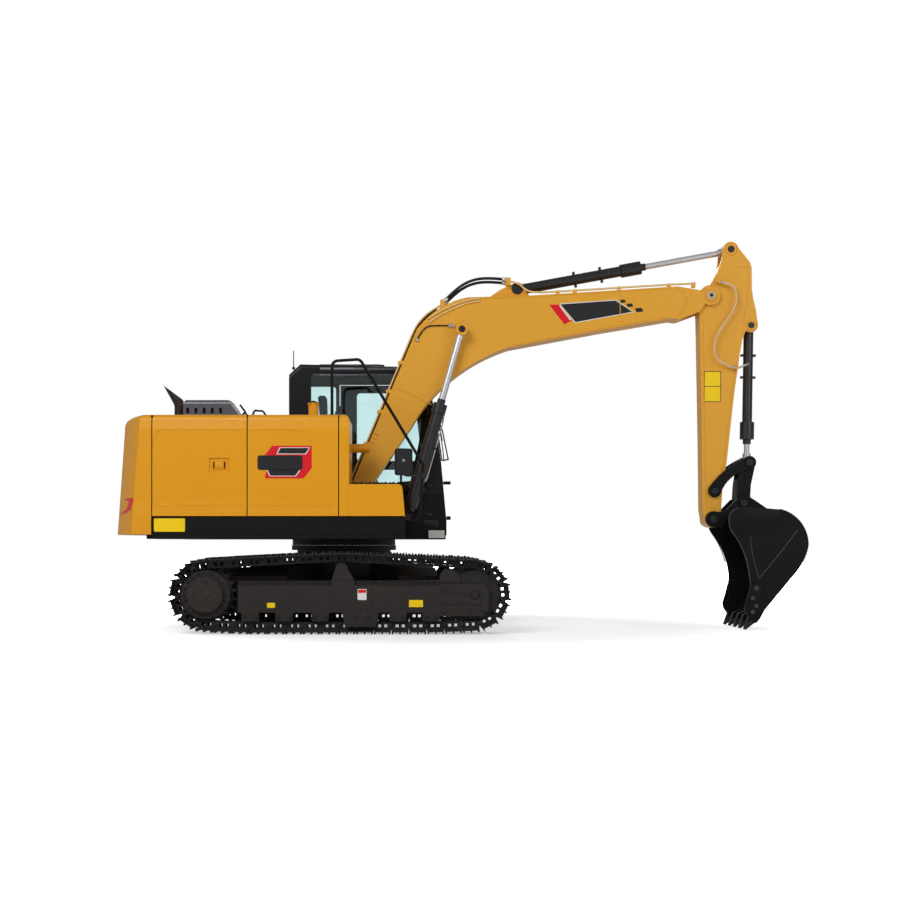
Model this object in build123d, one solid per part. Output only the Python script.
from build123d import *
import math
import os

os.makedirs("parts", exist_ok=True)

# Crawler excavator of about thirteen tonnes, parked with its bucket hanging just above the ground.
# Sizes are in millimetres. X points forward, Y to the machine's left and Z up, with Z = 0 the ground.
# Lengths along X are measured from the slew axis. The whole machine is moved by SLEW_X when it is
# written, so that the middle of its length stands over the origin.
SLEW_X = -1224.0

# Clearances
SEAT = 0.3            # between pieces that rest on each other
SIDE_PLAY = 5.0       # between a moving eye and the cheeks beside it
SEAM = 10.0           # between neighbouring body panels

# Undercarriage
GAUGE = 1990.0
SHOE_WIDTH = 500.0
LINK_PITCH = 172.0
SHOE_PLATE = 10.0
LUG_HEIGHT = 20.0
LUG_WIDTH = 20.0
LINK_RISE = 45.0      # from the pin line out to the shoe
LINK_DROP = 35.0      # from the pin line in to the rolling face
RAIL_THICKNESS = 30.0
RAIL_OFFSET = 78.0
PIN_LINE_RADIUS = 290.0
SPROCKET_X = -1305.0
IDLER_X = 1334.0
WHEEL_Z = 382.0
ROLLER_RADIUS = 72.0
ROLLER_PLACES = (-866.0, -533.0, -181.0, 230.0, 582.0, 906.0)
ROLLER_BRACKET = (170.0, 148.0)
ROLLER_PLAY = 2.6
CARRIER_X = 27.0
CARRIER_Z = 642.0
CARRIER_RADIUS = 60.0
CARRIER_PLAY = 5.5
FRAME_HALF_WIDTH = 150.0
FRAME_REAR_X = -987.0
FRAME_FRONT_X = 992.0
FRAME_TOP = 520.0
FRAME_SHOULDER = (60.0, 52.0)  # width and drop of its sloping top edges
FRAME_FLOOR = 278.0
FRAME_SKIRT = 208.0
FRAME_CHEEK = 25.0
GUARD_FRONT_X = 1475.0
GUARD_BOTTOM = 173.0
GUARD_TOP = 490.0
RIB_HEIGHTS = (296.0, 403.0)
LEG_FEET = ((-1, 530.0, 1042.0), (1, 577.0, 977.0))  # end of the machine, start and stop of the leg
DRUM_RADIUS = 493.0
DRUM_BOTTOM = 470.0
DRUM_TOP = 817.0
RING_RADIUS = 551.0
RING_BORE = 420.0
RING_SPLIT = 868.0
RING_PLAY = 0.5
DRIVE_RADIUS = 244.0
DRIVE_COVER = (182.0, 59.0)   # radius and height of the round cover on the drive
SPROCKET_TEETH = 21
TOW_EYE_X = 580.0
TOW_PLATE = (520.0, 560.0)    # bottom and top of the towing plates
TOW_EYE_RADIUS = 32.0

# Upper house
DECK_BOTTOM = 933.0
DECK_TOP = 975.0
HOUSE_HALF_WIDTH = 1200.0
HOUSE_TOP = 2148.0
PANEL_BOTTOM = 1153.0
PANEL = 30.0
PANEL_CORNER = 60.0
BAND_LOW = 1299.0     # creases of the side panels
BAND_HIGH = 2005.0
FLARE = 10.0          # step inwards at each crease
HOUSE_REAR_X = -1816.0
BAY_FRONT_X = -890.0
COWL_FRONT_X = -650.0
TANK_INNER_Y = -480.0
TANK_SEAM_X = 3.0
TANK_FRONT_X = 105.0
BOX_FRONT_X = 650.0
BOX_TOP = 1475.0
BOX_BASE_X = 644.0
RAIL_Y = -1000.0
RAIL_RADIUS = 15.0
TAIL_RADIUS = 2350.0
TAIL_LEAN = 80.0
TAIL_EDGE = 70.0
TAIL_BEAM_X = -2000.0
TAIL_BEAM_HALF = 500.0
LIFT_HOLE = (15.0, 60.0)      # radius and depth of the counterweight's two lifting holes
HOOD_HALF = 420.0
HOOD_REAR_X = -1696.0
HOOD_FRONT_X = -926.0
HOOD_SHEET = 28.0
DOME_HALF = 330.0
DOME_SLOT_X = (-1605.0, -1520.0, -1435.0, -1350.0, -1265.0)
DOOR_HINGE = (-1811.0, 1192.0)  # X and Y of each side door's upright hinge
EXHAUST = (-1775.0, 200.0, 55.0)  # X, Y and radius of the stack
EXHAUST_BEND = 29.0
FILLER = (-262.0, -900.0)

# Cab
CAB_INNER_Y = 240.0
CAB_OUTER_Y = HOUSE_HALF_WIDTH
CAB_FLOOR = 1118.0
CAB_ROOF = 2821.0
CAB_WALL = 45.0
CAB_REAR_X = -604.0
CAB_FRONT_X = 1093.0
CAB_WAIST_X = 1034.0
CAB_WAIST_Z = 1775.0
CAB_BROW_X = 905.0
CAB_BROW_Z = 2700.0
KNUCKLE = 12.0
CAB_HINGE = (-100.0, CAB_OUTER_Y + KNUCKLE + SEAT)  # X and Y of the door's upright hinge
KNUCKLE_REACH = 60.0
GLASS = 6.0

# Digging arm: the plane that boom, arm and bucket share, and the pins in it
BOOM_Y = -100.0
FOOT = (135.0, 1403.0)
BOOM_CYLINDER_BASE = (679.0, 1159.0)
BOOM_CYLINDER_EYE = (1237.0, 3101.0)
ARM_CYLINDER_BASE = (1822.0, 3552.0)
ELBOW = (3836.0, 3470.0)
ARM_CYLINDER_EYE = (4053.0, 3960.0)
BUCKET_CYLINDER_BASE = (4264.0, 3166.0)
LINK_PIVOT = (3879.0, 1436.0)
LINK_HEAD = (4242.0, 1732.0)
WRIST = (3865.0, 1140.0)
BUCKET_EYE = (4180.0, 1308.0)

BOOM_HALF = 155.0
FORK_HALF = 120.0
ARM_HALF = 115.0
ARM_SLOT_HALF = 80.0
EYE_HALF = 75.0
FOOT_HALF = 215.0
EAR = 35.0
BOOM_CYLINDER_OFFSET = 245.0
BASE_EYE_HALF = 40.0
PIN = 35.0

# Hydraulic cylinders: rod that shows between the barrel's end and the rod's pin, and rod radii
BOOM_ROD_OUT = 752.0
ARM_ROD_OUT = 893.0
BUCKET_ROD_OUT = 201.0
BOOM_ROD = 34.0
ARM_ROD = 31.0
BUCKET_ROD = 29.0
COLLAR = 50.0         # length of the scraper collar at a barrel's end
COLLAR_WALL = 16.0

# Bucket
BUCKET_HALF = 500.0
BUCKET_PLATE = 20.0
TOOTH_COUNT = 5
TOOTH_WIDTH = 74.0

# Free hoses: route points in the plane of a constant Y, and diameters
KNEE_HOSE = ((1060, 3420), (1165, 3530), (1320, 3632), (1510, 3664), (1700, 3642))
KNEE_HOSE_DIAMETER = 30.0
KNEE_HOSE_Y = (-222.0, -182.0)
KNEE_HOSE_DROP = 32.0
ARM_HOSE = (
    (3930, 3607), (4062, 3590), (4105, 3462), (4075, 3318),
    (3905, 3092), (3850, 2905), (3930, 2748), (4085, 2715))
ARM_HOSE_DIAMETER = 19.0
ARM_HOSE_Y = -275.0


# Shapes drawn in the XZ plane, as an outline with X and Z
def outline(*points):
    """Flat face with straight edges, from X and Z pairs."""
    return make_face(Polyline(*points, close=True))


def disc(centre, radius):
    """Flat round face about a point given by X and Z."""
    return Pos(centre[0], centre[1]) * Circle(radius)


def slab(face, low_y, high_y):
    """Solid of an outline between two planes of constant Y."""
    return Pos(0, high_y, 0) * extrude(Plane.XZ * face, amount=high_y - low_y)


def wide(face, half, centre=BOOM_Y):
    """Solid of an outline, the same distance each side of a plane."""
    return slab(face, centre - half, centre + half)


def pair(face, inner, outer, centre=BOOM_Y):
    """Two like plates of an outline, one each side of a plane."""
    return slab(face, centre + inner, centre + outer) + slab(face, centre - outer, centre - inner)


def block(low, high):
    """Box between two corners."""
    size = [b - a for a, b in zip(low, high)]
    return Pos(*low) * Box(*size, align=(Align.MIN, Align.MIN, Align.MIN))


def upright(x, y, low_z, high_z, radius):
    """Standing cylinder."""
    return Pos(x, y, low_z) * Cylinder(radius, high_z - low_z, align=(Align.CENTER, Align.CENTER, Align.MIN))


def mirrored(shape):
    """The same piece on the machine's other side."""
    return mirror(shape, about=Plane.XZ)


def bar(start, end, y, radius, first, last):
    """Round bar on the line between two pins, from a distance first to a distance last."""
    dx = end[0] - start[0]
    dz = end[1] - start[1]
    reach = math.hypot(dx, dz)
    direction = Vector(dx / reach, 0, dz / reach)
    origin = Vector(start[0], y, start[1]) + direction * first
    return extrude(Plane(origin, z_dir=direction) * Circle(radius), amount=last - first)


def distance(a, b):
    """Length between two pins."""
    return math.hypot(b[0] - a[0], b[1] - a[1])


def write(shape, node):
    """Writes one node in the machine's own frame."""
    export_step(Pos(SLEW_X, 0, 0) * shape, "parts/" + node + ".step")


# Track: a belt of straight links round the wheels, with three lugs on each shoe
def belt_line():
    """Tangent points and arcs of the pin line, anticlockwise from the first bottom roller."""
    roller_line = ROLLER_RADIUS + LINK_DROP + ROLLER_PLAY
    roller_z = LUG_HEIGHT + SHOE_PLATE + LINK_RISE + roller_line
    carrier_line = CARRIER_RADIUS + LINK_DROP + CARRIER_PLAY
    wheels = [
        (ROLLER_PLACES[0], roller_z, roller_line),
        (ROLLER_PLACES[-1], roller_z, roller_line),
        (IDLER_X, WHEEL_Z, PIN_LINE_RADIUS),
        (CARRIER_X, CARRIER_Z, carrier_line),
        (SPROCKET_X, WHEEL_Z, PIN_LINE_RADIUS),
    ]
    normals = []
    for here, there in zip(wheels, wheels[1:] + wheels[:1]):
        dx = there[0] - here[0]
        dz = there[1] - here[1]
        reach = math.hypot(dx, dz)
        normals.append(math.atan2(dz, dx) - math.acos((here[2] - there[2]) / reach))
    spans = []
    for index, wheel in enumerate(wheels):
        before = normals[index - 1]
        after = normals[index]
        while after < before:
            after += 2 * math.pi
        spans.append(("arc", wheel, before, wheel[2] * (after - before)))
        there = wheels[(index + 1) % len(wheels)]
        leave = (wheel[0] + wheel[2] * math.cos(after), wheel[1] + wheel[2] * math.sin(after))
        meet = (there[0] + there[2] * math.cos(after), there[1] + there[2] * math.sin(after))
        spans.append(("run", leave, meet, distance(leave, meet)))
    return spans


def along_belt(spans, travel):
    """Point of the pin line at a length along it."""
    for kind, first, second, length in spans:
        if travel <= length:
            if kind == "arc":
                angle = second + travel / first[2]
                return (first[0] + first[2] * math.cos(angle), first[1] + first[2] * math.sin(angle))
            part = travel / length
            return (first[0] + part * (second[0] - first[0]), first[1] + part * (second[1] - first[1]))
        travel -= length
    return along_belt(spans, 0)


def belt_links():
    """Each link as its middle, its direction and its half length."""
    spans = belt_line()
    total = sum(span[3] for span in spans)
    count = round(total / LINK_PITCH)
    pins = [along_belt(spans, total * k / count) for k in range(count)]
    links = []
    for here, there in zip(pins, pins[1:] + pins[:1]):
        length = distance(here, there)
        direction = ((there[0] - here[0]) / length, (there[1] - here[1]) / length)
        middle = ((here[0] + there[0]) / 2, (here[1] + there[1]) / 2)
        links.append((middle, direction, length / 2))
    return links


def on_link(link, forward, out):
    """Point of a link at a distance along it and a distance out from the pin line."""
    middle, direction, half = link
    return (
        middle[0] + forward * direction[0] + out * direction[1],
        middle[1] + forward * direction[1] - out * direction[0],
    )


def belt_offset(links, out):
    """Closed line of straight links at a distance out from the pin line, with mitred corners."""
    corners = []
    for here, there in zip(links, links[1:] + links[:1]):
        turn = math.atan2(
            here[1][0] * there[1][1] - here[1][1] * there[1][0],
            here[1][0] * there[1][0] + here[1][1] * there[1][1],
        )
        corners.append(on_link(here, here[2] + out * math.tan(turn / 2), out))
    return corners


def ring_face(outer, inner):
    """Flat face between two closed lines of X and Z pairs, drawn in the XZ plane."""
    outside = Wire.make_polygon([(x, 0, z) for x, z in outer])
    inside = Wire.make_polygon([(x, 0, z) for x, z in inner])
    return Face(outside, [inside])


def make_track(side):
    """One fixed loop: shoes with three lugs each, and the two rails of links that they sit on."""
    links = belt_links()
    plate_out = LINK_RISE + SHOE_PLATE
    lug_out = plate_out + LUG_HEIGHT
    gap = 4.0
    flank = 5.0
    lug_line = []
    for link in links:
        reach = link[2] - gap
        starts = (-reach, -LUG_WIDTH / 2, reach - LUG_WIDTH)
        for start in starts:
            lug_line.append(on_link(link, start, plate_out))
            lug_line.append(on_link(link, start + flank, lug_out))
            lug_line.append(on_link(link, start + LUG_WIDTH - flank, lug_out))
            lug_line.append(on_link(link, start + LUG_WIDTH, plate_out))
    middle = side * GAUGE / 2
    shoes = extrude(ring_face(lug_line, belt_offset(links, LINK_RISE)), amount=SHOE_WIDTH, dir=(0, 1, 0))
    track = [Pos(0, middle - SHOE_WIDTH / 2, 0) * shoes]
    rail = ring_face(belt_offset(links, LINK_RISE - SEAT), belt_offset(links, -LINK_DROP))
    for offset in (-RAIL_OFFSET, RAIL_OFFSET):
        low = middle + offset - RAIL_THICKNESS / 2
        track.append(Pos(0, low, 0) * extrude(rail, amount=RAIL_THICKNESS, dir=(0, 1, 0)))
    return Compound(children=track)


# Wheels of the track
def turned(profile, x, z, centre_y):
    """Round solid about an axis along Y, from pairs of distance along the axis and radius."""
    face = make_face(Polyline(*profile, close=True))
    solid = revolve(face, axis=Axis.X)
    return Pos(x, centre_y, z) * Rot(0, 0, 90) * solid


def roller_centre_z():
    """Height of the bottom rollers above the ground."""
    return LUG_HEIGHT + SHOE_PLATE + LINK_RISE + LINK_DROP + ROLLER_PLAY + ROLLER_RADIUS


def rim_radius():
    """Radius at which the straight links rest on a round wheel."""
    half = belt_links()[0][2]
    return math.sqrt(PIN_LINE_RADIUS ** 2 - half ** 2) - LINK_DROP - SEAT


def make_bottom_rollers():
    """Double-flanged bottom rollers of both sides."""
    tread = RAIL_OFFSET + RAIL_THICKNESS / 2 + 4.0
    cheek = FRAME_HALF_WIDTH - FRAME_CHEEK - SEAT
    flange = 86.0
    profile = [
        (-cheek, 0), (-cheek, 32), (-tread - 10, 32), (-tread - 10, flange), (-tread, flange),
        (-tread, ROLLER_RADIUS), (tread, ROLLER_RADIUS), (tread, flange), (tread + 10, flange),
        (tread + 10, 32), (cheek, 32), (cheek, 0),
    ]
    rollers = []
    for side in (-1, 1):
        for x in ROLLER_PLACES:
            rollers.append(turned(profile, x, roller_centre_z(), side * GAUGE / 2))
    return Compound(children=rollers)


def make_carrier_rollers():
    """One carrier roller a side, on its stand on top of the track frame."""
    tread = RAIL_OFFSET + RAIL_THICKNESS / 2 + 4.0
    middle = GAUGE / 2
    profile = [
        (-tread, 0), (-tread, CARRIER_RADIUS), (tread, CARRIER_RADIUS), (tread, 28), (118, 28), (118, 0)]
    stand = outline(
        (CARRIER_X - 98, FRAME_TOP + SEAT), (CARRIER_X + 130, FRAME_TOP + SEAT),
        (CARRIER_X + 58, CARRIER_Z), (CARRIER_X - 58, CARRIER_Z),
    ) + disc((CARRIER_X, CARRIER_Z), 58)
    roller = turned(profile, CARRIER_X, CARRIER_Z, middle) + slab(stand, middle + 116, middle + 140)
    return Compound(children=[roller, mirrored(roller)])


def make_idlers():
    """Front idler wheels with a raised middle flange between the rails."""
    rim = rim_radius()
    profile = [
        (-134, 0), (-134, 48), (-100, 48), (-100, 90), (-92, rim - 45), (-92, rim), (-48, rim),
        (-40, rim + 26), (40, rim + 26), (48, rim), (92, rim), (92, rim - 45), (100, 90),
        (100, 48), (134, 48), (134, 0),
    ]
    return Compound(children=[turned(profile, IDLER_X, WHEEL_Z, side * GAUGE / 2) for side in (-1, 1)])


def make_final_drives():
    """Hydraulic final drives: toothed sprocket, flanged hub outside it and motor inside it."""
    root = PIN_LINE_RADIUS - 30
    tip = PIN_LINE_RADIUS + 6
    teeth = []
    for k in range(SPROCKET_TEETH):
        for share, radius in ((0.0, root), (0.25, root), (0.42, tip), (0.58, tip), (0.75, root)):
            angle = 2 * math.pi * (k + share) / SPROCKET_TEETH
            teeth.append((SPROCKET_X + radius * math.cos(angle), WHEEL_Z + radius * math.sin(angle)))
    centre = (SPROCKET_X, WHEEL_Z)
    y = GAUGE / 2
    drive = slab(outline(*teeth), y - 28, y + 28)
    drive += slab(disc(centre, 150), y - 168, y - 28)
    drive += slab(disc(centre, 205), y + 28, y + 66)
    drive += slab(disc(centre, DRIVE_RADIUS - 20), y + 66, y + 128)
    hub = slab(disc(centre, DRIVE_RADIUS), y + 128, y + 146)
    hub = chamfer(hub.edges().filter_by(GeomType.CIRCLE).sort_by(Axis.Y)[-1], 8)
    drive += hub
    cover = slab(disc(centre, DRIVE_COVER[0]), y + 145, y + 146 + DRIVE_COVER[1])
    drive += chamfer(cover.edges().filter_by(GeomType.CIRCLE).sort_by(Axis.Y)[-1], 12)
    return Compound(children=[drive, mirrored(drive)])


# Frames of the undercarriage
def make_track_frame(side):
    """Box beam with sloping top edges, roller brackets, idler and chain guards and the drive's plate."""
    low = GAUGE / 2 - FRAME_HALF_WIDTH
    high = GAUGE / 2 + FRAME_HALF_WIDTH
    slope, drop = FRAME_SHOULDER
    section = make_face(Polyline(
        (low, FRAME_FLOOR), (high, FRAME_FLOOR), (high, FRAME_TOP - drop), (high - slope, FRAME_TOP),
        (low + slope, FRAME_TOP), (low, FRAME_TOP - drop), close=True))
    frame = Pos(FRAME_REAR_X, 0, 0) * extrude(Plane.YZ * section, amount=FRAME_FRONT_X - FRAME_REAR_X)
    cheek = outline(
        (FRAME_REAR_X, FRAME_SKIRT), (FRAME_FRONT_X, FRAME_SKIRT),
        (FRAME_FRONT_X, FRAME_FLOOR + 20), (FRAME_REAR_X, FRAME_FLOOR + 20))
    for x in ROLLER_PLACES:
        cheek += Pos(x, FRAME_SKIRT - 12) * RectangleRounded(*ROLLER_BRACKET, 18)
    guard = outline(
        (FRAME_FRONT_X, GUARD_BOTTOM), (GUARD_FRONT_X - 60, GUARD_BOTTOM),
        (GUARD_FRONT_X, GUARD_BOTTOM + 60),
        (GUARD_FRONT_X, GUARD_TOP - 60), (GUARD_FRONT_X - 60, GUARD_TOP), (FRAME_FRONT_X, GUARD_TOP))
    drive_end = outline(
        (FRAME_REAR_X, FRAME_SKIRT), (FRAME_REAR_X, FRAME_TOP),
        (SPROCKET_X, WHEEL_Z + 190), (SPROCKET_X, WHEEL_Z - 190)) + disc((SPROCKET_X, WHEEL_Z), 190)
    drive_end -= disc((SPROCKET_X, WHEEL_Z), 150 + SEAT)
    for start, end in ((low, low + FRAME_CHEEK), (high - FRAME_CHEEK, high)):
        frame += slab(cheek, start, end)
    hub_bore = disc((IDLER_X, WHEEL_Z), 48 + SEAT)
    frame += slab(guard - hub_bore, high - 32, high)
    frame += slab(guard - hub_bore, low, low + 32)
    frame += slab(drive_end, low, low + 28)
    for rib in RIB_HEIGHTS:
        frame += block((FRAME_FRONT_X + 12, high - 1, rib - 7), (GUARD_FRONT_X - 70, high + 8, rib + 7))
    chain_guard = outline((30, FRAME_SKIRT + 20), (400, FRAME_SKIRT + 20), (366, 66), (64, 66))
    frame += slab(chain_guard, high - 1, high + 14)
    frame += block(
        (CARRIER_X - 98, GAUGE / 2 + 90, FRAME_TOP - drop - 20), (CARRIER_X + 130, high, FRAME_TOP))
    return frame if side > 0 else mirrored(frame)


def leg_section(end, side, y, start, stop, low, high):
    """Upright rectangle that a leg passes through at a distance from the middle plane."""
    place = Pos(end * (start + stop) / 2, side * y, (low + high) / 2)
    return place * Rot(90, 0, 0) * Rectangle(stop - start, high - low)


def make_centre_frame():
    """Round drum under the slewing ring, four spreading box legs and a towing plate at each end."""
    frame = upright(0, 0, DRUM_BOTTOM, DRUM_TOP, DRUM_RADIUS)
    foot_y = GAUGE / 2 - FRAME_HALF_WIDTH - SEAT
    for side in (-1, 1):
        for end, start, stop in LEG_FEET:
            near = leg_section(end, side, 250, 150, 560, 480, 700)
            knee = leg_section(end, side, foot_y - 145, start, stop - 20, 330, 640)
            foot = leg_section(end, side, foot_y, start, stop, 290, 560)
            frame += loft([near, knee, foot], ruled=True)
    for end in (-1, 1):
        eye = Pos(end * TOW_EYE_X, 0)
        tongue = Pos(end * (TOW_EYE_X - 60), 0) * Rectangle(120, 132) + eye * Circle(66)
        tongue -= eye * Circle(TOW_EYE_RADIUS)
        frame += Pos(0, 0, TOW_PLATE[0]) * extrude(tongue, amount=TOW_PLATE[1] - TOW_PLATE[0])
    return frame


def ring(low_z, high_z, radius):
    """One race of the slewing ring."""
    return upright(0, 0, low_z, high_z, radius) - upright(0, 0, low_z - 1, high_z + 1, RING_BORE)


# House: deck, covers and counterweight
def make_deck():
    """Revolving frame: deck plate, boom brackets and the lugs of the boom cylinders."""
    top = DECK_TOP
    y = HOUSE_HALF_WIDTH - PANEL - SEAT
    deck = block((HOUSE_REAR_X + SEAT, -y, DECK_BOTTOM), (BOX_FRONT_X, y, top))
    deck += block((BOX_FRONT_X - 1, BOOM_Y - 330, DECK_BOTTOM), (CAB_FRONT_X - 230, y, top))
    deck += block((BOX_FRONT_X - 1, CAB_INNER_Y, DECK_BOTTOM), (CAB_FRONT_X - 8, y, top))
    deck += block((TAIL_BEAM_X, -TAIL_BEAM_HALF, DECK_BOTTOM), (HOUSE_REAR_X + 1, TAIL_BEAM_HALF, top))
    ear = outline(
        (-520, top - 1), (-120, 1330), (30, 1452), (240, 1452), (420, 1230), (520, top - 1),
    ) + disc(FOOT, 112)
    deck += pair(ear, FOOT_HALF + SIDE_PLAY, FOOT_HALF + SIDE_PLAY + EAR)
    deck += wide(disc(FOOT, PIN + 10), FOOT_HALF + SIDE_PLAY + 1)
    lug = outline((555, top - 1), (600, 1185), (758, 1185), (820, top - 1)) + disc(BOOM_CYLINDER_BASE, 78)
    inner = BOOM_CYLINDER_OFFSET - BASE_EYE_HALF - SIDE_PLAY
    outer = BOOM_CYLINDER_OFFSET + BASE_EYE_HALF + SIDE_PLAY
    deck += pair(lug, inner - 30, inner)
    deck += pair(lug, outer, outer + 30)
    deck += pair(disc(BOOM_CYLINDER_BASE, PIN), inner - 1, outer + 1)
    return deck


def make_skirts():
    """Low black side panels below the doors, with a turned-out lip along the bottom."""
    lip = 36.0
    y = HOUSE_HALF_WIDTH
    section = make_face(Polyline(
        (y - PANEL, DECK_BOTTOM), (y, DECK_BOTTOM), (y, DECK_BOTTOM + lip), (y - 12, DECK_BOTTOM + lip + 8),
        (y - 12, PANEL_BOTTOM - SEAM), (y - PANEL, PANEL_BOTTOM - SEAM), close=True))
    start = HOUSE_REAR_X + SEAT
    right = Pos(start, 0, 0) * extrude(Plane.YZ * section, amount=BOX_FRONT_X - start)
    left = Pos(start, 0, 0) * extrude(Plane.YZ * section, amount=CAB_REAR_X - SEAM - start)
    return Compound(children=[mirrored(right), left])


def make_counterweight():
    """Cast counterweight: round tail that leans forward, creased sides, soft top edge, two lifting holes."""
    low = DECK_TOP + SEAT
    plan_low = Plane.XY.offset(low) * Circle(TAIL_RADIUS)
    plan_high = Plane.XY.offset(HOUSE_TOP) * Circle(TAIL_RADIUS - TAIL_LEAN)
    front = HOUSE_REAR_X - SEAM
    y = HOUSE_HALF_WIDTH
    half = [
        (y, low - 1), (y, PANEL_BOTTOM), (y - FLARE, BAND_LOW), (y - FLARE, BAND_HIGH),
        (y - 2.5 * FLARE, HOUSE_TOP + 1)]
    section = make_face(Polyline(*half, *[(-a, z) for a, z in reversed(half)], close=True))
    envelope = Pos(-TAIL_RADIUS - 10, 0, 0) * extrude(Plane.YZ * section, amount=front + TAIL_RADIUS + 10)
    weight = loft([plan_low, plan_high], ruled=True) & envelope
    top_edges = weight.edges().group_by(Axis.Z)[-1]
    weight = fillet(top_edges.filter_by(lambda edge: edge.center().X < front - 10), TAIL_EDGE)
    for hole_y in (-TAIL_BEAM_HALF, TAIL_BEAM_HALF):
        weight -= upright(TAIL_BEAM_X, hole_y, HOUSE_TOP - LIFT_HOLE[1], HOUSE_TOP + 1, LIFT_HOLE[0])
    return weight


def side_line():
    """Outer line of the left side panels in the YZ plane: three creased bands and a round shoulder."""
    y = HOUSE_HALF_WIDTH
    shoulder = (y - 2 * FLARE, HOUSE_TOP - PANEL_CORNER)
    return [
        Polyline((y, PANEL_BOTTOM), (y - FLARE, BAND_LOW), (y - FLARE, BAND_HIGH), shoulder),
        RadiusArc(shoulder, (shoulder[0] - PANEL_CORNER, HOUSE_TOP), -PANEL_CORNER),
    ]


def side_cover(inner_y, start, stop):
    """Solid cover of the left side's section, between two places along X."""
    edge = HOUSE_HALF_WIDTH - 2 * FLARE - PANEL_CORNER
    rest = Polyline(
        (edge, HOUSE_TOP), (inner_y, HOUSE_TOP), (inner_y, PANEL_BOTTOM), (HOUSE_HALF_WIDTH, PANEL_BOTTOM))
    return Pos(start, 0, 0) * extrude(Plane.YZ * make_face(side_line() + [rest]), amount=stop - start)


def make_engine_bay():
    """Fixed structure of the engine bay: cowl behind the cab, bulkhead, roof rails and door posts."""
    low = DECK_TOP + SEAT
    inner = HOUSE_HALF_WIDTH - PANEL - SEAT
    stop = inner - SIDE_PLAY
    roof = HOUSE_HALF_WIDTH - 2 * FLARE - PANEL_CORNER - SEAM
    cowl_start = BAY_FRONT_X + SEAM / 2
    bay = side_cover(TANK_INNER_Y + SEAM, cowl_start, COWL_FRONT_X)
    bay += block((cowl_start, TANK_INNER_Y + SEAM, low), (COWL_FRONT_X, inner, PANEL_BOTTOM + 1))
    wall = make_face(Polyline(
        (0, low), (stop, low), (stop, BAND_HIGH - 15), (roof + 25, HOUSE_TOP - 68), (roof, HOUSE_TOP - 48),
        (roof, HOUSE_TOP - 8), (0, HOUSE_TOP - 8), close=True))
    wall = Pos(BAY_FRONT_X - 24, 0, 0) * extrude(Plane.YZ * wall, amount=29)
    sheet = HOUSE_TOP - PANEL
    front = BAY_FRONT_X - SEAM
    ledge = HOUSE_TOP - HOOD_SHEET - SEAT
    rail = block((HOUSE_REAR_X, HOOD_HALF + SEAM, sheet), (front, roof, HOUSE_TOP))
    rail += block((HOUSE_REAR_X, 0, sheet), (HOOD_REAR_X - SEAM, roof, HOUSE_TOP))
    rail += block((HOUSE_REAR_X + 60, HOOD_HALF - 30, ledge - 20), (front, HOOD_HALF + 40, ledge))
    rail += block((HOUSE_REAR_X, roof - 50, low), (HOUSE_REAR_X + 50, stop, BAND_HIGH - 15))
    rail += block((HOUSE_REAR_X, roof - 50, BAND_HIGH - 16), (HOUSE_REAR_X + 50, roof, sheet + 1))
    rail += block((HOUSE_REAR_X, roof - 50, HOUSE_TOP - 100), (front, roof, sheet + 1))
    return bay + wall + mirrored(wall) + rail + mirrored(rail)


def make_side_door(side):
    """Large side door with creases and a round top edge; a latch recess right, louvres left."""
    y = HOUSE_HALF_WIDTH
    back = y - PANEL
    roof = y - 2 * FLARE - PANEL_CORNER
    brow = HOUSE_TOP - PANEL_CORNER
    face = make_face(side_line() + [
        Line((roof, HOUSE_TOP), (roof, HOUSE_TOP - PANEL)),
        RadiusArc((roof, HOUSE_TOP - PANEL), (roof + PANEL, brow), PANEL_CORNER - PANEL),
        Polyline((roof + PANEL, brow), (back, BAND_HIGH - 5), (back, PANEL_BOTTOM), (y, PANEL_BOTTOM)),
    ])
    door = Pos(HOUSE_REAR_X, 0, 0) * extrude(Plane.YZ * face, amount=BAY_FRONT_X - SEAM / 2 - HOUSE_REAR_X)
    for low in (1230, 1820):
        door += upright(*DOOR_HINGE, low, low + 90, DOOR_HINGE[0] - HOUSE_REAR_X)
    if side < 0:
        door -= block((-1260, y - 22, 1582), (-1065, y + 5, 1718))
        door += block((-1225, y - 24, 1612), (-1100, y - 14, 1688))
        return mirrored(door)
    for k in range(6):
        louvre = 1420 + 55 * k
        door -= block((-1700, back - 10, louvre), (-1050, y + 5, louvre + 22))
    return door


def make_hood():
    """Top hood over the engine, hinged at its front edge."""
    hood = block((HOOD_REAR_X, -HOOD_HALF, HOUSE_TOP - HOOD_SHEET), (HOOD_FRONT_X, HOOD_HALF, HOUSE_TOP))
    for y in (-250, 250):
        hood += Pos(HOOD_FRONT_X - 4, y, HOUSE_TOP) * Rot(90, 0, 0) * Cylinder(8, 80)
    return hood


def make_vent_dome():
    """Raised vent dome on the hood: flat top that slopes down to the front, slots in both sides."""
    low = HOUSE_TOP + SEAT
    face = outline(
        (-1653, low), (-1653, 2346), (-1626, 2378), (-1187, 2378), (-1113, 2269), (-1072, 2216),
        (-1066, low))
    dome = slab(face, -DOME_HALF, DOME_HALF)
    long_top = [edge for edge in dome.edges().filter_by(Axis.X) if edge.center().Z > 2370]
    dome = fillet(long_top, 45)
    for x in DOME_SLOT_X:
        dome -= block((x - 14, -DOME_HALF - 1, 2236), (x + 14, -DOME_HALF + 24, 2292))
        dome -= block((x - 14, DOME_HALF - 24, 2236), (x + 14, DOME_HALF + 1, 2292))
    return dome


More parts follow.
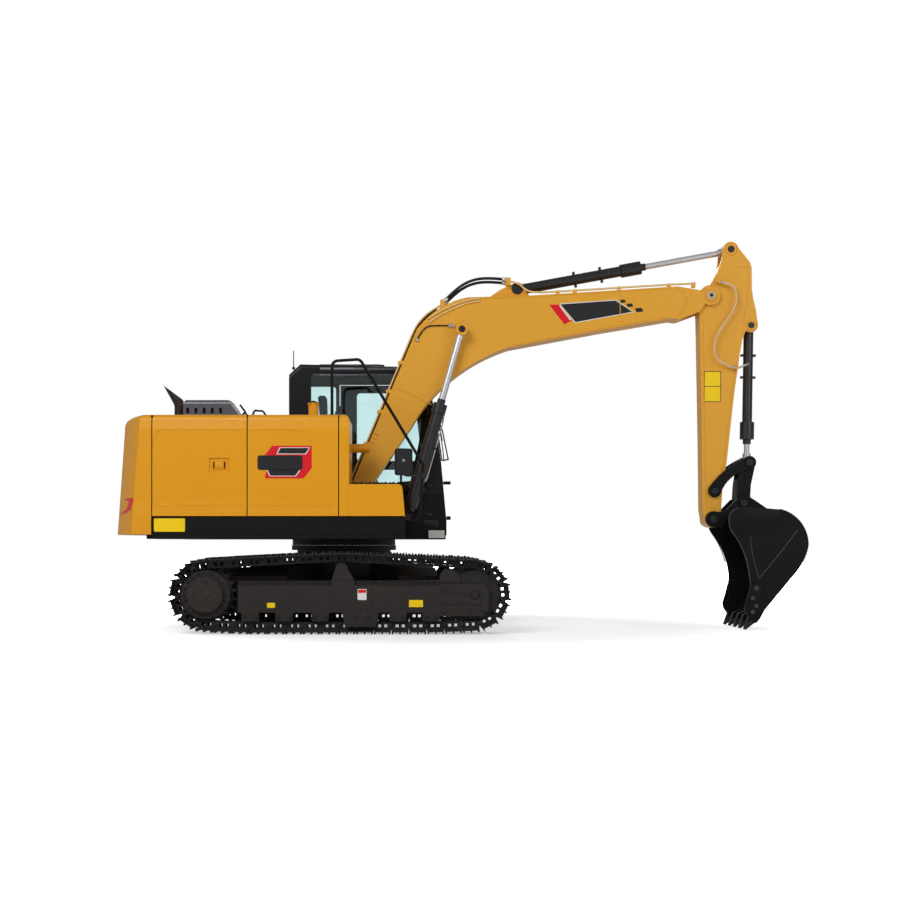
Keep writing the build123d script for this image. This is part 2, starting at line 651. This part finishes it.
def make_tank_housing():
    """Closed tank cover on the right with a rounded front corner, a seam and a round bar to the boom."""
    low = PANEL_BOTTOM
    start = BAY_FRONT_X + SEAM / 2
    front = TANK_FRONT_X
    brow = (front, HOUSE_TOP - PANEL_CORNER)
    crown = (front - PANEL_CORNER, HOUSE_TOP)
    profile = make_face([
        Polyline(crown, (start, HOUSE_TOP), (start, low), (front, low), brow),
        RadiusArc(brow, crown, -PANEL_CORNER),
    ])
    y = HOUSE_HALF_WIDTH
    body = side_cover(-TANK_INNER_Y, start, front) & slab(profile, 0, y + 1)
    body -= block((TANK_SEAM_X - 5, y - 35, low - 1), (TANK_SEAM_X + 5, y + 1, HOUSE_TOP + 1))
    body += block((start + 4, -TANK_INNER_Y, DECK_TOP + SEAT), (front, y - PANEL - SEAT, low + 1))
    body += Pos(front - 1, 530, 1859) * Rot(0, 90, 0) * Cylinder(
        45, 176, align=(Align.CENTER, Align.CENTER, Align.MIN))
    return mirrored(body)


def make_tool_box():
    """Front tool box that is also the step up to the deck."""
    start = TANK_FRONT_X + SEAT
    top = BOX_TOP - 10
    y = HOUSE_HALF_WIDTH
    brow = (BOX_FRONT_X - 24, top - 45)
    crown = (BOX_FRONT_X - 68, top)
    profile = make_face([
        Polyline(crown, (start, top), (start, PANEL_BOTTOM), (BOX_FRONT_X, PANEL_BOTTOM), brow),
        RadiusArc(brow, crown, -45),
    ])
    box = side_cover(-TANK_INNER_Y, start, BOX_FRONT_X) & slab(profile, 0, y + 1)
    box += block((start, -TANK_INNER_Y, DECK_TOP + SEAT), (BOX_BASE_X, y - PANEL - SEAT, PANEL_BOTTOM + 1))
    return mirrored(box)


def make_tread_plate():
    """Anti-slip tread plate on top of the tool box."""
    start = TANK_FRONT_X + 8
    side = HOUSE_HALF_WIDTH - FLARE - 4
    plate = block((start, -side, BOX_TOP - 10 + SEAT), (BOX_FRONT_X - 72, TANK_INNER_Y, BOX_TOP))
    plate = fillet(plate.edges().filter_by(Axis.Z), 24)
    for k in range(7):
        bar_x = start + 40 + 58 * k
        plate += block((bar_x, -side + 40, BOX_TOP - 1), (bar_x + 28, TANK_INNER_Y - 40, BOX_TOP + 7))
    return plate


def make_exhaust():
    """Exhaust stack, bent to the rear, with a slanted mouth."""
    low = HOUSE_TOP + SEAT
    x, y, radius = EXHAUST
    lean = math.radians(EXHAUST_BEND)
    bend = (x, y, 2385)
    end = (x - 400 * math.sin(lean), y, bend[2] + 400 * math.cos(lean))
    line = FilletPolyline((x, y, low), bend, end, radius=150)
    start = Plane((x, y, low), z_dir=(0, 0, 1))
    pipe = sweep(start * Circle(radius), path=line) - sweep(start * Circle(radius - 6), path=line)
    mouth = outline((-2100, low), (-1600, low), (-1600, 2326), (-2100, 2697))
    foot = block((-1815, 140, low), (-1716, 260, HOUSE_TOP + 40))
    foot -= upright(x, y, low - 1, HOUSE_TOP + 41, radius - 1)
    return (pipe & slab(mouth, 60, 340)) + foot


def make_fuel_filler():
    """Filler neck and cap on top of the tank cover."""
    return upright(*FILLER, HOUSE_TOP + SEAT, 2263, 50) + upright(*FILLER, 2262, 2285, 56)


def handrail_line():
    """Middle line of the grab rail, from the tank cover over the steps down to the tool box."""
    return FilletPolyline(
        (-72, RAIL_Y, HOUSE_TOP + SEAT), (-72, RAIL_Y, 2690), (205, RAIL_Y, 2708), (832, RAIL_Y, 1660),
        (788, RAIL_Y, 1107), (BOX_BASE_X + SEAT, RAIL_Y, 1107), radius=[60, 60, 70, 60])


def rail_solid(radius):
    """The grab rail's tube at a radius."""
    line = handrail_line()
    return sweep(Plane(line @ 0, z_dir=line % 0) * Circle(radius), path=line)


def make_handrail():
    """Bent grab rail with a foot plate at each end."""
    foot = upright(-72, RAIL_Y, HOUSE_TOP + SEAT, HOUSE_TOP + 12, 38)
    plate = block((BOX_BASE_X + SEAT, RAIL_Y - 35, 1072), (BOX_BASE_X + 10, RAIL_Y + 35, 1142))
    return rail_solid(RAIL_RADIUS) + foot + plate


def make_mirror():
    """Right mirror on a bent arm that is clamped to the grab rail."""
    housing = Box(176, 46, 266)
    housing = fillet(housing.edges().filter_by(Axis.Y), 26)
    housing = Pos(636, RAIL_Y, 1692) * Rot(0, 0, 28) * housing
    arm_line = FilletPolyline(
        (632, RAIL_Y, 1640), (632, RAIL_Y, 1556), (845, RAIL_Y, 1556), radius=40)
    arm = sweep(Plane(arm_line @ 0, z_dir=arm_line % 0) * Circle(10), path=arm_line)
    clamp = Pos(823, RAIL_Y, 1556) * Cylinder(28, 56)
    return housing + arm + clamp - rail_solid(RAIL_RADIUS + SEAT)


# Cab
def cab_outline():
    """Side view of the cab."""
    return outline(
        (CAB_REAR_X, CAB_FLOOR), (CAB_FRONT_X, CAB_FLOOR), (CAB_WAIST_X, CAB_WAIST_Z),
        (CAB_BROW_X, CAB_BROW_Z), (CAB_BROW_X - 90, CAB_ROOF - 30), (CAB_REAR_X + 120, CAB_ROOF),
        (CAB_REAR_X, CAB_ROOF - 110))


def cab_door_outline(margin):
    """Outline of the cab door, grown or shrunk by a margin."""
    rear = CAB_HINGE[0] + SEAM / 2 - margin
    return outline(
        (rear, CAB_FLOOR + 60 - margin), (955 + margin, CAB_FLOOR + 60 - margin),
        (915 + margin, CAB_WAIST_Z), (800 + margin, 2690 + margin), (rear, 2690 + margin))


def window(points, corner):
    """Window outline with rounded corners."""
    return fillet(outline(*points).vertices(), corner)


RIGHT_WINDOW = ((-366, 1430), (960, 1430), (940, CAB_WAIST_Z), (795, 2715), (-366, 2715))
QUARTER_WINDOW = ((-480, 1640), (-145, 1640), (-145, 2679), (-480, 2679))
DOOR_UPPER = ((93, 1830), (835, 1830), (745, 2605), (93, 2605))
DOOR_LOWER = ((250, 1270), (880, 1270), (850, 1730), (250, 1730))
WINDOW_CORNER = 40.0
PANE_INSET = 18.0     # from the cab's face in to its glass


def make_cab_shell():
    """Hollow cab of rounded panels, with windows on all sides and the door opening on the left."""
    body = slab(cab_outline(), CAB_INNER_Y, CAB_OUTER_Y)
    middle = (CAB_INNER_Y + CAB_OUTER_Y) / 2
    side_top = [
        edge for edge in body.edges()
        if edge.center().Z > CAB_ROOF - 60 and abs(edge.center().Y - middle) > 400]
    body = fillet(side_top, 40)
    hollow = offset(cab_outline(), amount=-CAB_WALL)
    body -= slab(hollow, CAB_INNER_Y + CAB_WALL, CAB_OUTER_Y - CAB_WALL)
    body -= slab(window(RIGHT_WINDOW, WINDOW_CORNER), CAB_INNER_Y - 5, CAB_INNER_Y + CAB_WALL + 5)
    body -= slab(cab_door_outline(SEAM), CAB_OUTER_Y - CAB_WALL - 5, CAB_OUTER_Y + 5)
    body -= slab(window(QUARTER_WINDOW, WINDOW_CORNER), CAB_OUTER_Y - CAB_WALL - 5, CAB_OUTER_Y + 5)
    body -= block((700, CAB_INNER_Y + 70, 1300), (CAB_FRONT_X + 5, CAB_OUTER_Y - 70, 2660))
    body -= block((CAB_REAR_X - 5, CAB_INNER_Y + 90, 1950), (CAB_REAR_X + 60, CAB_OUTER_Y - 90, 2600))
    base = block((CAB_REAR_X, CAB_INNER_Y, DECK_TOP + SEAT), (CAB_FRONT_X, HOUSE_HALF_WIDTH, CAB_FLOOR + 1))
    return body + base + cab_knuckles(-KNUCKLE_REACH, 0)


def cab_knuckles(low, high):
    """Hinge knuckles with their leaf, below or above each hinge's middle, for the post or for the door."""
    x, y = CAB_HINGE
    post = low < 0
    start, stop = (x - 60, x) if post else (x, x + 60)
    knuckles = []
    for middle in (1400.0, 2400.0):
        foot = middle + low + (0 if post else SEAT)
        leaf = block((start, CAB_OUTER_Y - 1, foot), (stop, y - 2, middle + high))
        knuckles.append(upright(x, y, foot, middle + high, KNUCKLE) + leaf)
    return knuckles


def make_cab_door():
    """Door with an upper and a lower window."""
    inner = CAB_OUTER_Y - CAB_WALL
    door = slab(cab_door_outline(0), inner, CAB_OUTER_Y)
    for points in (DOOR_UPPER, DOOR_LOWER):
        door -= slab(window(points, WINDOW_CORNER), inner - 5, CAB_OUTER_Y + 5)
    return door + cab_knuckles(0, KNUCKLE_REACH)


def pane(points, y):
    """Flat pane that fills a rounded window, from a Y outwards."""
    return slab(offset(window(points, WINDOW_CORNER), amount=-SEAT), y, y + GLASS)


def make_cab_glass():
    """Fixed panes: right side, left quarter, rear and front."""
    right = pane(RIGHT_WINDOW, CAB_INNER_Y + PANE_INSET)
    quarter = pane(QUARTER_WINDOW, CAB_OUTER_Y - PANE_INSET - GLASS)
    low_y = CAB_INNER_Y + 90 + SEAT
    high_y = CAB_OUTER_Y - 90 - SEAT
    rear = block((CAB_REAR_X + 15, low_y, 1950 + SEAT), (CAB_REAR_X + 15 + GLASS, high_y, 2600 - SEAT))
    face = outline(
        (CAB_FRONT_X - 38, 1300 + SEAT), (CAB_FRONT_X - 38 + GLASS, 1300 + SEAT),
        (CAB_WAIST_X - 22 + GLASS, CAB_WAIST_Z), (CAB_BROW_X - 18 + GLASS, 2660 - SEAT),
        (CAB_BROW_X - 18, 2660 - SEAT), (CAB_WAIST_X - 22, CAB_WAIST_Z))
    front = slab(face, CAB_INNER_Y + 70 + SEAT, CAB_OUTER_Y - 70 - SEAT)
    return Compound(children=[right, quarter, rear, front])


def make_door_glass():
    """Two panes of the cab door."""
    y = CAB_OUTER_Y - PANE_INSET - GLASS
    return Compound(children=[pane(DOOR_UPPER, y), pane(DOOR_LOWER, y)])


def make_cab_brackets():
    """Fittings on the cab: triangular rod guard and two stops on the front post, and a roof aerial."""
    y = CAB_INNER_Y + 10
    guard_face = outline((981, 2165), (1034, 2162), (1055, 2108), (1120, 1785), (1036, 1776))
    guard = slab(guard_face - offset(guard_face, amount=-14), y, y + 14)
    upper_stop = block((1058, y, 1524), (1138, y + 50, 1556))
    lower_stop = block((1092, y, 1142), (1138, y + 50, 1180))
    aerial = upright(-560, y + 60, 2768, 2972, 5) + upright(-560, y + 60, 2768, 2795, 16)
    return Compound(children=[guard, upper_stop, lower_stop, aerial])


def make_seat():
    """Operator's seat on its pedestal, with a headrest."""
    y = (CAB_INNER_Y + CAB_OUTER_Y) / 2
    floor = CAB_FLOOR + CAB_WALL + SEAT
    seat = block((-180, y - 170, floor), (200, y + 170, 1500))
    seat += fillet(block((-230, y - 240, 1499), (270, y + 240, 1630)).edges(), 30)
    back = outline((-230, 1560), (-110, 1560), (-200, 2230), (-300, 2230))
    seat += fillet(slab(back, y - 235, y + 235).edges(), 28)
    headrest = outline((-292, 2220), (-215, 2220), (-225, 2520), (-320, 2520))
    return seat + fillet(slab(headrest, y - 120, y + 120).edges(), 30)


def make_controls():
    """Side consoles with their levers, travel pedals with bars, and the display."""
    floor = CAB_FLOOR + CAB_WALL + SEAT
    pieces = []
    for y in (400.0, 1040.0):
        console = block((-200, y - 75, floor), (330, y + 75, 1700))
        console += upright(240, y, 1699, 1860, 20)
        console += upright(240, y, 1850, 1930, 32)
        pieces.append(console)
    for y in (640.0, 800.0):
        pedal = block((560, y - 50, floor), (760, y + 50, floor + 60))
        pedal += upright(600, y, floor + 50, 1750, 12)
        pieces.append(pedal)
    display = block((820, 300, floor), (860, 340, 1850)) + block((800, 295, 1849), (835, 440, 2060))
    pieces.append(display)
    return Compound(children=pieces)


# Free hoses
def cord_radii(points):
    """Radius at each corner of a route: as wide as the shorter run beside it allows."""
    radii = []
    for before, here, after in zip(points, points[1:], points[2:]):
        first = Vector(*here) - Vector(*before)
        second = Vector(*after) - Vector(*here)
        half_turn = math.radians(first.get_angle(second)) / 2
        radii.append(0.45 * min(first.length, second.length) / math.tan(half_turn))
    return radii


def hose(route, y, drop, diameter):
    """Hose in a plane of constant Y, along straight runs with rounded corners."""
    points = [(x, y, z - drop) for x, z in route]
    line = FilletPolyline(*points, radius=cord_radii(points))
    return sweep(Plane(line @ 0, z_dir=line % 0) * Circle(diameter / 2), path=line)


def report_hose(route, node):
    """Prints the length and the corner radii of a hose's route."""
    points = [(x, 0, z) for x, z in route]
    radii = cord_radii(points)
    line = FilletPolyline(*points, radius=radii)
    print(node, "length", round(line.length), "radii", [round(radius) for radius in radii])


# Boom, arm and bucket
def make_boom():
    """Cranked box boom: foot boss, forked nose, cylinder bosses and the arm cylinder's bracket."""
    upper = [
        Line((80, 1480), (770, 3115)),
        ThreePointArc((770, 3115), (985, 3322), (1300, 3452)),
        Polyline((1300, 3452), (1877, 3466), (3493, 3566), (3722, 3527), (3800, 3420)),
    ]
    lower = [
        Polyline((3800, 3420), (3722, 3303), (3513, 3225), (3430, 3235), (2680, 3108), (1742, 2933)),
        ThreePointArc((1742, 2933), (1140, 2606), (720, 2110)),
        Polyline((720, 2110), (346, 1558), (230, 1380), (80, 1360), (80, 1480)),
    ]
    face = make_face(upper + lower) + disc(ELBOW, 100) + disc(FOOT, 105)
    boom = wide(face, BOOM_HALF)
    arm_room = outline((3640, 3380), (3608, 3324), (3548, 3215), (3548, 3150), (3700, 3150), (3700, 3380))
    boom -= wide(disc(ELBOW, 268), FORK_HALF)
    boom -= wide(arm_room, FORK_HALF)
    boom += wide(disc(ELBOW, PIN + 10), BOOM_HALF - 1)
    boom += wide(disc(ELBOW, 62), BOOM_HALF + 14) - wide(disc(ELBOW, 63), BOOM_HALF - 1)
    boom += wide(disc(FOOT, 105), FOOT_HALF)
    boom -= wide(disc(FOOT, PIN + 10 + SEAT), FOOT_HALF + 1)
    eye_reach = BOOM_CYLINDER_OFFSET - BASE_EYE_HALF - SIDE_PLAY
    boom += wide(disc(BOOM_CYLINDER_EYE, 62), eye_reach)
    bracket = outline((1500, 3440), (1640, 3540), (1770, 3600), (1880, 3580), (1960, 3460), (1960, 3440))
    bracket += disc(ARM_CYLINDER_BASE, 68)
    boom += pair(bracket, EYE_HALF - 15 + SIDE_PLAY, EYE_HALF - 15 + SIDE_PLAY + 30)
    boom += wide(disc(ARM_CYLINDER_BASE, PIN), EYE_HALF - 9)
    first, last = KNEE_HOSE[0], KNEE_HOSE[-1]
    for y, drop in zip(KNEE_HOSE_Y, (0, KNEE_HOSE_DROP)):
        start = first[1] - drop
        end = last[1] - drop
        boom += block((first[0] - 45, y - 19, start - 90), (first[0] + 4, y + 19, start + 12))
        boom += block((last[0] + SEAT, y - 19, end - 60), (last[0] + 50, BOOM_Y - EYE_HALF, end + 19))
        boom -= hose(KNEE_HOSE, y, drop, KNEE_HOSE_DIAMETER + 2 * SEAT)
    return boom


def cylinder_barrel(base, eye, y, reach, tube, gland, eye_size, neck):
    """Cylinder body from its base eye to its end collar; gland is a radius and a length."""
    eye_radius, eye_half = eye_size
    gland_start = reach - COLLAR - gland[1]
    barrel = slab(disc(base, eye_radius), y - eye_half, y + eye_half)
    barrel += bar(base, eye, y, min(tube, eye_half), eye_radius * 0.6, neck + 1)
    barrel += bar(base, eye, y, tube, neck, gland_start + 1)
    barrel += bar(base, eye, y, gland[0], gland_start, reach - COLLAR)
    barrel += bar(base, eye, y, gland[0] - 2 * COLLAR_WALL, reach - COLLAR - 1, reach)
    return barrel - slab(disc(base, PIN + SEAT), y - eye_half - 1, y + eye_half + 1)


def rod_bore(base, eye, y, radius, first, last):
    """Bore that a rod slides in."""
    return bar(base, eye, y, radius + SEAT, first, last)


def cylinder_rod(base, eye, y, radius, start, eye_radius, eye_half):
    """Rod that slides in the barrel, with its eye."""
    reach = distance(base, eye)
    stem = min(radius + 14, eye_half)
    rod = bar(base, eye, y, radius, start, reach - eye_radius * 0.5)
    rod += bar(base, eye, y, stem, reach - eye_radius - 45, reach - eye_radius * 0.5)
    return rod + slab(disc(eye, eye_radius), y - eye_half, y + eye_half)


def make_boom_cylinders():
    """Barrels and rods of the two boom cylinders."""
    base, eye = BOOM_CYLINDER_BASE, BOOM_CYLINDER_EYE
    reach = distance(base, eye) - BOOM_ROD_OUT
    barrels = []
    rods = []
    for side in (-1, 1):
        y = BOOM_Y + side * BOOM_CYLINDER_OFFSET
        barrel = cylinder_barrel(base, eye, y, reach, 62, (74, 100), (70, BASE_EYE_HALF), 110)
        barrels.append(barrel - rod_bore(base, eye, y, BOOM_ROD, 120, reach + 1))
        rods.append(cylinder_rod(base, eye, y, BOOM_ROD, reach - 553, 62, BASE_EYE_HALF))
    return Compound(children=barrels), Compound(children=rods)


def make_arm():
    """Tapered box arm with twin ears for its cylinder and for the bucket cylinder."""
    face = outline(
        (3965, 3960), (3956, 3845), (3915, 3730), (3842, 3600), (3727, 3480), (3722, 3300), (3727, 3239),
        (3748, 2070), (3758, 1235), (3780, 1110), (3940, 1110), (3951, 1256), (3967, 1496), (4009, 1736),
        (4045, 2070), (4092, 2488), (4123, 2697), (4144, 2853), (4176, 3031), (4210, 3110),
        (4336, 3180), (4311, 3344), (4290, 3427), (4273, 3532), (4270, 3761), (4254, 3824), (4197, 3897),
        (4120, 3990))
    face += disc(ARM_CYLINDER_EYE, 80)
    face += disc(ELBOW, 115)
    face += disc(BUCKET_CYLINDER_BASE, 72)
    face += disc(WRIST, 86)
    arm = wide(face, ARM_HALF)
    top_pocket = outline((3700, 3790), (4400, 3790), (4400, 4200), (3700, 4200))
    arm -= wide(top_pocket, ARM_SLOT_HALF)
    arm -= wide(disc(BUCKET_CYLINDER_BASE, 112), ARM_SLOT_HALF)
    arm += wide(disc(BUCKET_CYLINDER_BASE, PIN), ARM_SLOT_HALF + 1)
    arm -= wide(disc(ELBOW, PIN + 10 + SEAT), ARM_HALF + 1)
    arm -= wide(disc(WRIST, PIN + SEAT), ARM_HALF + 1)
    arm -= wide(disc(LINK_PIVOT, PIN + SEAT), ARM_HALF + 1)
    for boss in ((ARM_HOSE[0][0] - 16.5, ARM_HOSE[0][1] + 2), (ARM_HOSE[-1][0] + 16.5, ARM_HOSE[-1][1] - 2)):
        arm += slab(disc(boss, 16), ARM_HOSE_Y - 14, BOOM_Y - ARM_HALF + 1)
    return arm


def make_arm_cylinder():
    """Barrel and rod of the arm cylinder."""
    base, eye = ARM_CYLINDER_BASE, ARM_CYLINDER_EYE
    reach = distance(base, eye) - ARM_ROD_OUT
    barrel = cylinder_barrel(base, eye, BOOM_Y, reach, 55, (70, 213), (62, EYE_HALF - 15), 70)
    barrel -= rod_bore(base, eye, BOOM_Y, ARM_ROD, 110, reach + 1)
    return barrel, cylinder_rod(base, eye, BOOM_Y, ARM_ROD, reach - 495, 62, EYE_HALF)


def make_bucket_cylinder():
    """Barrel and rod of the bucket cylinder."""
    base, eye = BUCKET_CYLINDER_BASE, LINK_HEAD
    reach = distance(base, eye) - BUCKET_ROD_OUT
    barrel = cylinder_barrel(base, eye, BOOM_Y, reach, 51, (74, 180), (58, EYE_HALF), 60)
    barrel -= rod_bore(base, eye, BOOM_Y, BUCKET_ROD, 100, reach + 1)
    return barrel, cylinder_rod(base, eye, BOOM_Y, BUCKET_ROD, reach - 833, 55, EYE_HALF - SIDE_PLAY)


def make_idler_links():
    """Pair of curved links outside the arm, on one pin through it."""
    tail_high = (LINK_PIVOT[0] - 52, LINK_PIVOT[1] + 42)
    tail_low = (LINK_PIVOT[0] + 62, LINK_PIVOT[1] - 20)
    head_high = (LINK_HEAD[0] - 10, LINK_HEAD[1] + 66)
    head_low = (LINK_HEAD[0] + 8, LINK_HEAD[1] - 66)
    face = make_face([
        ThreePointArc(tail_high, (4000, 1660), head_high), Line(head_high, head_low),
        ThreePointArc(head_low, (4045, 1565), tail_low), Line(tail_low, tail_high),
    ]) + disc(LINK_PIVOT, 68) + disc(LINK_HEAD, 68)
    links = pair(face, ARM_HALF + SIDE_PLAY + 1, ARM_HALF + SIDE_PLAY + 27)
    return links + wide(disc(LINK_PIVOT, PIN), ARM_HALF + SIDE_PLAY + 2)


def make_bucket_link():
    """Link between the bucket and the head of the curved links, forked round the rod's eye."""
    face = outline((4150, 1690), (4122, 1500), (4112, 1340), (4250, 1300), (4262, 1500), (4305, 1700))
    face += disc(LINK_HEAD, 66)
    face += disc(BUCKET_EYE, 62)
    link = wide(face, ARM_HALF)
    link -= wide(outline((4000, 1560), (4500, 1560), (4500, 1900), (4000, 1900)), EYE_HALF)
    link -= wide(disc(BUCKET_EYE, PIN + SEAT), ARM_HALF + 1)
    return link


def bucket_outline():
    """Side view of the bucket shell."""
    return make_face([
        ThreePointArc((3962, 1020), (4109, 778), (4166, 440)),
        Polyline((4166, 440), (4150, 127), (4170, 60), (4235, 85), (4312, 209), (4597, 555)),
        ThreePointArc((4597, 555), (4709, 717), (4757, 860)),
        ThreePointArc((4757, 860), (4688, 1092), (4475, 1236)),
        Polyline((4475, 1236), (4070, 1216), (3990, 1140), (3962, 1020)),
    ])


def make_bucket():
    """Backhoe bucket: curved shell, side cutters, ears and five teeth."""
    shell = wide(bucket_outline(), BUCKET_HALF)
    inner = offset(bucket_outline(), amount=-BUCKET_PLATE)
    shell -= wide(inner, BUCKET_HALF - BUCKET_PLATE)
    shell -= wide(Pos(-50, 0) * inner, BUCKET_HALF - BUCKET_PLATE)
    ear = outline(
        (3800, 1190), (3990, 1232), (4105, 1350), (4234, 1375), (4310, 1326), (4442, 1236), (4400, 1200),
        (4070, 1200), (4000, 1130), (3950, 1060), (3850, 1060))
    ear += disc(WRIST, 83)
    ear += disc(BUCKET_EYE, 72)
    shell += pair(ear, ARM_HALF + SIDE_PLAY + 1, ARM_HALF + SIDE_PLAY + 40)
    shell += wide(disc(WRIST, PIN), ARM_HALF + SIDE_PLAY + 2)
    shell += wide(disc(BUCKET_EYE, PIN), ARM_HALF + SIDE_PLAY + 2)
    cutter = outline(
        (4160, 450), (4250, 470), (4262, 300), (4225, 130), (4150, 127), (4108, 190), (4099, 240),
        (4129, 335))
    shell += pair(cutter, BUCKET_HALF - 1, BUCKET_HALF + 18)
    tooth = outline((4104, 12), (4116, 8), (4262, 118), (4300, 190), (4262, 196), (4150, 150))
    step = (2 * BUCKET_HALF - TOOTH_WIDTH) / (TOOTH_COUNT - 1)
    for k in range(TOOTH_COUNT):
        y = BOOM_Y - BUCKET_HALF + TOOTH_WIDTH / 2 + k * step
        shell += wide(tooth, TOOTH_WIDTH / 2, y)
    return shell


def main():
    """Builds every node and writes it."""
    write(make_centre_frame(), "centre_frame")
    write(ring(DRUM_TOP + SEAT, RING_SPLIT, RING_RADIUS), "slew_ring_lower")
    write(ring(RING_SPLIT + RING_PLAY, DECK_BOTTOM - SEAT, RING_RADIUS - 8), "slew_ring_upper")
    for name, side in (("right", -1), ("left", 1)):
        write(make_track_frame(side), "track_frame_" + name)
        write(make_track(side), "track_" + name)
    write(make_final_drives(), "final_drives")
    write(make_idlers(), "front_idlers")
    write(make_bottom_rollers(), "bottom_rollers")
    write(make_carrier_rollers(), "carrier_rollers")
    write(make_deck(), "deck_frame")
    write(make_skirts(), "side_skirts")
    write(make_counterweight(), "counterweight")
    write(make_engine_bay(), "engine_bay")
    write(block((-1700, -420, DECK_TOP + SEAT), (-1000, 480, 1900)), "engine_block")
    write(make_side_door(-1), "door_right")
    write(make_side_door(1), "door_left")
    write(make_hood(), "hood")
    write(make_vent_dome(), "vent_dome")
    write(make_tank_housing(), "tank_housing")
    write(make_tool_box(), "tool_box")
    write(make_tread_plate(), "tread_plate")
    write(make_exhaust(), "exhaust_stack")
    write(make_fuel_filler(), "fuel_filler")
    write(make_handrail(), "handrail")
    write(make_mirror(), "mirror_right")
    write(make_cab_shell(), "cab_shell")
    write(make_cab_door(), "cab_door")
    write(make_cab_glass(), "cab_glass")
    write(make_door_glass(), "cab_door_glass")
    write(make_cab_brackets(), "cab_brackets")
    write(make_seat(), "operator_seat")
    write(make_controls(), "cab_controls")
    write(make_boom(), "boom")
    barrels, rods = make_boom_cylinders()
    write(barrels, "boom_cylinder_barrels")
    write(rods, "boom_cylinder_rods")
    write(make_arm(), "arm")
    barrel, rod = make_arm_cylinder()
    write(barrel, "arm_cylinder_barrel")
    write(rod, "arm_cylinder_rod")
    barrel, rod = make_bucket_cylinder()
    write(barrel, "bucket_cylinder_barrel")
    write(rod, "bucket_cylinder_rod")
    write(make_idler_links(), "curved_links")
    write(make_bucket_link(), "bucket_link")
    write(make_bucket(), "bucket")
    for name, y, drop in zip(("upper", "lower"), KNEE_HOSE_Y, (0, KNEE_HOSE_DROP)):
        write(hose(KNEE_HOSE, y, drop, KNEE_HOSE_DIAMETER), "boom_hose_" + name)
    report_hose(KNEE_HOSE, "boom hoses")
    write(hose(ARM_HOSE, ARM_HOSE_Y, 0, ARM_HOSE_DIAMETER), "arm_hose")
    report_hose(ARM_HOSE, "arm hose")


main()
